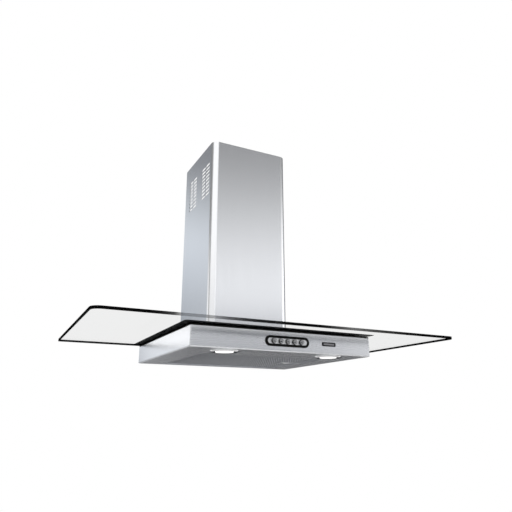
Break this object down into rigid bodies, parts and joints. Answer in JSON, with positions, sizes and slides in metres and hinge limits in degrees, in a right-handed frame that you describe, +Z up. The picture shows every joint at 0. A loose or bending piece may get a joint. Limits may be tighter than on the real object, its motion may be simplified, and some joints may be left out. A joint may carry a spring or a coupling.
{
  "type": "chimney range hood",
  "caption": "Wall-mounted chimney range hood: flat glass panel over a shallow steel canopy with push buttons, lamps, a grease filter, a blower and a duct collar.",
  "frame": {"origin": "centre of the four hanging holes, on the wall plane", "axes": "+Z up, +Y into the wall, +X to the right for someone facing the hood"},
  "size_m": [0.9, 0.5, 0.6133],
  "materials": {
    "brushed_steel": "fine vertical brushing",
    "clear_glass": "clear, polished edges",
    "black_foam": "soft foam strip",
    "black_gloss": "gloss black moulding",
    "bright_plate": "finely brushed",
    "chrome": "mirror plated",
    "lamp_lens": "frosted and lit",
    "filter_metal": "satin expanded metal",
    "filter_pack": "layered mesh, dark in depth",
    "galvanised": "zinc coated sheet",
    "scroll_plastic": "moulded",
    "fan_plastic": "moulded",
    "bare_steel": "plain bright steel",
    "motor_metal": "dark painted",
    "collar_plastic": "moulded",
    "flap_plastic": "moulded, pale",
    "terminal_plastic": "moulded, pale",
    "capacitor_shell": "white sleeve",
    "lamp_can": "drawn can"
  },
  "bodies": {
    "hood": {"canopy_shell": "brushed_steel", "chimney_cover": "brushed_steel", "glass_panel": "clear_glass", "glass_gasket": "black_foam", "control_bezel": "black_gloss", "control_plate": "bright_plate", "lamp_ring_left": "chrome", "lamp_ring_right": "chrome", "lamp_lens_left": "lamp_lens", "lamp_lens_right": "lamp_lens", "canopy_top": "galvanised", "wall_plate": "galvanised", "blower_chassis": "galvanised", "scroll_left": "scroll_plastic", "scroll_right": "scroll_plastic", "fan_motor": "motor_metal", "motor_bracket": "galvanised", "outlet_collar": "collar_plastic", "damper_pin": "bare_steel", "terminal_box": "terminal_plastic", "cable_gland": "collar_plastic", "capacitor": "capacitor_shell", "glass_clamp_left": "galvanised", "glass_clamp_right": "galvanised", "glass_clamp_front": "galvanised", "switch_block": "collar_plastic", "lamp_can_left": "lamp_can", "lamp_can_right": "lamp_can", "lamp_driver": "terminal_plastic", "chimney_bracket": "galvanised", "collar_screws": "bare_steel", "clamp_screws": "bare_steel"},
    "impeller": {"fan_impeller": "fan_plastic", "fan_blades": "fan_plastic", "fan_rim_left": "fan_plastic", "fan_rim_right": "fan_plastic", "fan_shaft": "bare_steel"},
    "filter": {"filter_frame": "filter_metal", "filter_mesh": "filter_metal", "filter_pack": "filter_pack"},
    "latch": {"filter_latch": "filter_metal"},
    "damper_front": {"damper_flap_front": "flap_plastic"},
    "damper_rear": {"damper_flap_rear": "flap_plastic"},
    "button_light": {"button_light": "chrome"},
    "button_off": {"button_off": "chrome"},
    "button_speed_1": {"button_speed_1": "chrome"},
    "button_speed_2": {"button_speed_2": "chrome"},
    "button_speed_3": {"button_speed_3": "chrome"}
  },
  "joints": [
    {"name": "fan_spin", "type": "hinge", "parent": "hood", "child": "impeller", "pos_m": [0, -0.084, -0.1855], "axis": [1, 0, 0], "continuous": true},
    {"name": "filter_tilt", "type": "hinge", "parent": "hood", "child": "filter", "pos_m": [-0.1696, -0.1655, -0.353], "axis": [0, 1, 0], "range_deg": [0, 60]},
    {"name": "latch_slide", "type": "slide", "parent": "filter", "child": "latch", "axis": [-1, 0, 0], "range_m": [0, 0.008], "stiffness_N_per_m": 300, "springref_m": -0.004},
    {"name": "damper_front_swing", "type": "hinge", "parent": "hood", "child": "damper_front", "pos_m": [0, -0.092, -0.0312], "axis": [-1, 0, 0], "range_deg": [0, 75]},
    {"name": "damper_rear_swing", "type": "hinge", "parent": "hood", "child": "damper_rear", "pos_m": [0, -0.092, -0.0312], "axis": [1, 0, 0], "range_deg": [0, 75]},
    {"name": "button_light_press", "type": "slide", "parent": "hood", "child": "button_light", "axis": [0, 1, 0], "range_m": [0, 0.003], "stiffness_N_per_m": 500, "springref_m": -0.002},
    {"name": "button_off_press", "type": "slide", "parent": "hood", "child": "button_off", "axis": [0, 1, 0], "range_m": [0, 0.003], "stiffness_N_per_m": 500, "springref_m": -0.002},
    {"name": "button_speed_1_press", "type": "slide", "parent": "hood", "child": "button_speed_1", "axis": [0, 1, 0], "range_m": [0, 0.003], "stiffness_N_per_m": 500, "springref_m": -0.002},
    {"name": "button_speed_2_press", "type": "slide", "parent": "hood", "child": "button_speed_2", "axis": [0, 1, 0], "range_m": [0, 0.003], "stiffness_N_per_m": 500, "springref_m": -0.002},
    {"name": "button_speed_3_press", "type": "slide", "parent": "hood", "child": "button_speed_3", "axis": [0, 1, 0], "range_m": [0, 0.003], "stiffness_N_per_m": 500, "springref_m": -0.002}
  ]
}
